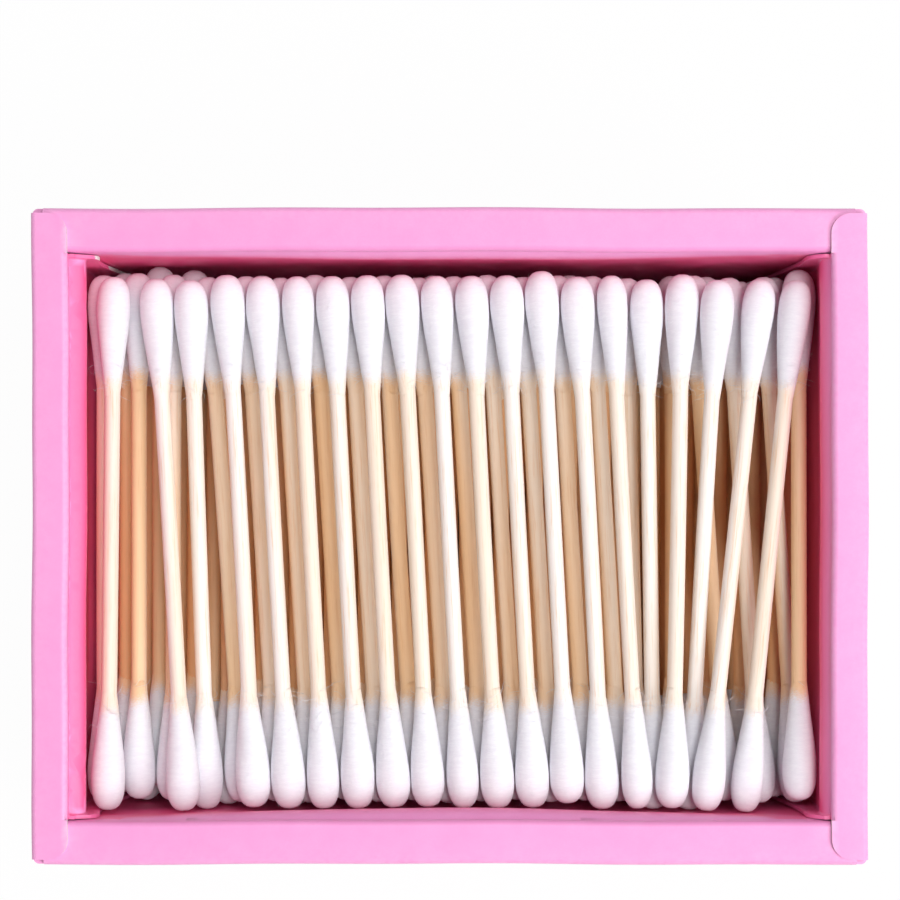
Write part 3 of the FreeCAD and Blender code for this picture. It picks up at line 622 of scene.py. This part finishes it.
def lay_swabs(sticks_node, tips_node, finish, wood, white):
    """The sticks and the cotton heads of one CAD pair of nodes, made in detail in wood and white."""
    stick_parts, stick_own, tip_parts, tip_own, tip_under, tip_cover = [], [], [], [], [], []
    for back, front in stick_ends(sticks_node):
        rows, local, start = stick_shape(back, front, *finish["stick"])
        stick_parts.append(sleeve(rows))
        flat = local.reshape(-1, 3)
        stick_own.append(np.concatenate([flat, flat[:1], flat[-1:]]))
        along = (front - back) / np.linalg.norm(front - back)
        side, up = across(along)
        frame_of_stick = np.stack([side, up, along], -1)
        for tip, inward in ((back - STICK_COVER * along, along), (front + STICK_COVER * along, -along)):
            size = finish["size"] * chance.uniform(0.96, 1.0)
            widest = NECK_RADIUS + (HEAD_RADIUS - NECK_RADIUS) * size
            rows, local, cover = head_shape(tip, inward, widest, *finish["head"])
            points, polygons = sleeve(rows)
            flat = local.reshape(-1, 3)
            tip_parts.append((points, polygons))
            tip_own.append(np.concatenate([flat, flat[:1], flat[-1:]]))
            tip_under.append((points - back) @ frame_of_stick + start)
            tip_cover.append(np.concatenate([cover.ravel(), [1.0], [0.0]]))
            for number, kind in zip(finish["fibres"], (FUZZ, STRAYS)):
                if number:
                    points, polygons = loose_fibres(tip, inward, widest, number, kind)
                    tip_parts.append((points, polygons))
                    tip_own.append(np.broadcast_to(flat[0], points.shape))
                    tip_under.append(np.broadcast_to(flat[0], points.shape))
                    tip_cover.append(np.ones(len(points)))
    own = ("own", "FLOAT_VECTOR", stick_own)
    sticks = laid_piece("birch_" + sticks_node, stick_parts, wood, [own])
    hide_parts(sticks_node)
    places = [("own", "FLOAT_VECTOR", tip_own), ("under", "FLOAT_VECTOR", tip_under)]
    tips = laid_piece("wound_" + tips_node, tip_parts, white, places + [("cover", "FLOAT", tip_cover)])
    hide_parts(tips_node)


# "stick" and "head" give the rings and the points round each, "fibres" the fuzz and the strays
shown_least = {"stick": (10, 14), "head": (26, 24), "fibres": (0, 0), "size": 1.0}
# Row 8 in the darkest painted-shade birch, row 9 in the lighter one
lay_swabs("layer_8_sticks", "layer_8_cotton_tips", shown_least, birch_shaded_below, cotton_shaded_neck)
shown_between = {"stick": (24, 22), "head": (32, 28), "fibres": (30, 6), "size": 1.0}
lay_swabs("layer_9_sticks", "layer_9_cotton_tips", shown_between, birch_shaded_between, cotton_shaded_neck)

# The top row: twenty swabs side by side, fanned a little, with the rows below showing between them.
# Some of them have slimmer or fuller heads than the rest, as wound.
HEAD_SIZES = {4: 1.04, 6: 0.94, 10: 0.9, 13: 1.04, 15: 0.82, 19: 0.92, 20: 0.9}
TOP_SWABS = 20
for number in range(1, TOP_SWABS + 1):
    finish = {"stick": (44, 30), "head": (46, 40), "fibres": (90, 12), "size": HEAD_SIZES.get(number, 1.0)}
    names = f"top_stick_{number:02d}", f"top_cotton_tips_{number:02d}"
    lay_swabs(*names, finish, birch_top, cotton_top)

# The table: a wide plain white sheet. It is lit like the tray, and what the camera sees of it is
# lifted to white, so that only a trace of the shadow stays. Metres from here on.
FLOOR_SPAN = 4.0
LIFTED_SHARE = 0.97
TABLE_WHITE = "F2F0F0"
edge = FLOOR_SPAN / 2
table_mesh = bpy.data.meshes.new("table")
corners = [(-edge, -edge, 0), (edge, -edge, 0), (edge, edge, 0), (-edge, edge, 0)]
table_mesh.from_pydata(corners, [], [(0, 1, 2, 3)])
table = bpy.data.objects.new("table", table_mesh)
bpy.context.scene.collection.objects.link(table)
matt_white = {"Roughness": 0.9, "Base Color": linear(TABLE_WHITE)}
white_table, tree, shader = new_material("white_table", matt_white)
by_camera = add(tree, "LightPath", output="Is Camera Ray")
by_gloss = add(tree, "LightPath", output="Is Glossy Ray")
direct = add(tree, "Math", {0: by_camera, 1: by_gloss}, operation="MAXIMUM")
lifted = add(tree, "Math", {0: direct, 1: LIFTED_SHARE}, operation="MULTIPLY")
glow = add(tree, "Emission", {"Color": (1, 1, 1, 1), "Strength": 1.0})
mixed = add(tree, "MixShader", {0: lifted, 1: shader.outputs[0], 2: glow})
tree.links.new(mixed, tree.nodes["Material Output"].inputs["Surface"])
table_mesh.materials.append(white_table)

# Light: a soft white room, one wide soft lamp nearly overhead, and one from the right and a little
# to the front. The lamps face the tray's middle, a little under its rim.
ROOM_LEVEL = 0.34
LAMP_DISTANCE = 1.2
LIT_HEIGHT = 0.045
room = bpy.data.worlds.new("white_room")
bpy.context.scene.world = room
room.use_nodes = True
tree = room.node_tree
by_camera = add(tree, "LightPath", output="Is Camera Ray")
direct = add(tree, "Math", {0: by_camera, 1: ROOM_LEVEL}, operation="MAXIMUM")
tree.links.new(direct, tree.nodes["Background"].inputs["Strength"])
tree.nodes["Background"].inputs["Color"].default_value = (1, 1, 1, 1)


def soft_lamp(name, towards, watts, width):
    """A round soft lamp in this direction from the tray, facing it."""
    lamp_data = bpy.data.lights.new(name, "AREA")
    lamp_data.shape = "DISK"
    lamp_data.size = width
    lamp_data.energy = watts
    lamp = bpy.data.objects.new(name, lamp_data)
    bpy.context.scene.collection.objects.link(lamp)
    towards = Vector(towards).normalized()
    lamp.location = towards * LAMP_DISTANCE + Vector((0, 0, LIT_HEIGHT))
    lamp.rotation_mode = "QUATERNION"
    lamp.rotation_quaternion = towards.to_track_quat("Z", "Y")


soft_lamp("lamp_overhead", (0.22, 0.08, 0.97), 6.1, 0.5)
soft_lamp("lamp_right", (0.57, -0.36, 0.74), 7.8, 0.6)

# Camera: straight above the tray, square to it, with the tray's middle 86 pixels below the middle of
# the 900 pixel frame.
CAMERA_ABOVE_RIM = 0.310
FIELD_AT_RIM = 0.12295
SENSOR = 36.0
PIXELS_BELOW_MIDDLE = 86
PIXELS_WIDE = 900
camera_data = bpy.data.cameras.new("camera")
camera_data.sensor_width = SENSOR
camera_data.lens = SENSOR * CAMERA_ABOVE_RIM / FIELD_AT_RIM
camera_data.shift_y = PIXELS_BELOW_MIDDLE / PIXELS_WIDE
camera_data.clip_start = 0.01
camera = bpy.data.objects.new("camera", camera_data)
bpy.context.scene.collection.objects.link(camera)
camera.location = (0.0, 0.0, TRAY_HEIGHT / 1000 + CAMERA_ABOVE_RIM)
bpy.context.scene.camera = camera
bpy.context.scene.view_settings.view_transform = "Standard"
